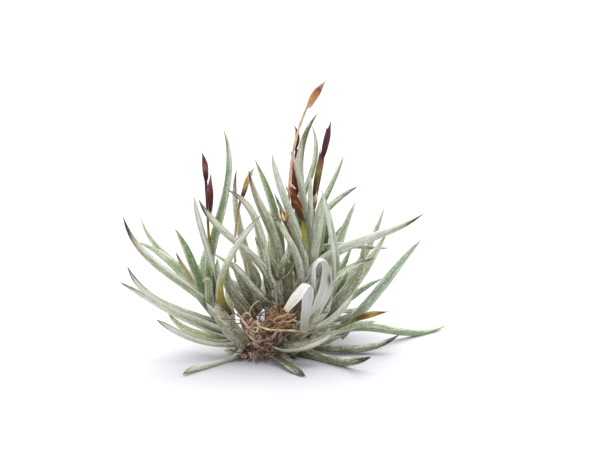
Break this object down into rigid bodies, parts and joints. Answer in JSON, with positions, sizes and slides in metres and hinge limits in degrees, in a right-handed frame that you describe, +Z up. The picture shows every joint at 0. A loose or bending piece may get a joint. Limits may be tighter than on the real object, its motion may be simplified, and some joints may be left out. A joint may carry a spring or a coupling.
{
  "type": "air plant clump",
  "caption": "Clump of silvery grey-green air plants on one dark rootstock, with dried flower spikes, bleached hooked leaves and wiry roots, lying on a surface.",
  "frame": {"origin": "on the resting surface under the middle of the rootstock, at the centre of its flat rest spot", "axes": "+Z up, +X to the right and +Y away from the viewer of the front view, in which the tallest stem leans slightly right"},
  "size_m": [0.0942, 0.0671, 0.0791],
  "materials": {
    "rootstock_bark": "rough dark bark with broken leaf bases and dry bristles",
    "felted_leaf": "matte grey-green under a silver felt of scales, tips dry and brown",
    "spike_purple": "dry papery bracts, dark purple-brown",
    "spike_tan": "dry papery bracts, tan and ochre",
    "spike_red_brown": "dry papery bracts, red-brown",
    "spike_spent": "shrivelled bracts, dull brown",
    "spike_olive": "half-green bracts, olive to brown",
    "bleached_leaf": "dead leaf dried cream-white, matte",
    "wiry_root": "wiry dry roots, coppery brown, slightly glossy"
  },
  "bodies": {
    "root": {"rootstock": "rootstock_bark", "rosette_left": "felted_leaf", "rosette_mid_left": "felted_leaf", "rosette_middle": "felted_leaf", "rosette_tall": "felted_leaf", "rosette_right": "felted_leaf", "rosette_low_right": "felted_leaf", "rosette_back_right": "felted_leaf", "rosette_back": "felted_leaf", "rosette_under": "felted_leaf", "spike_left": "spike_purple", "spike_ochre": "spike_tan", "spike_tall": "spike_tan", "spike_behind": "spike_purple", "spike_red": "spike_red_brown", "spike_dark": "spike_purple", "spike_spent": "spike_spent", "spike_low": "spike_olive", "bleached_leaf_front": "bleached_leaf", "bleached_leaf_rear": "bleached_leaf", "roots": "wiry_root"}
  },
  "joints": []
}
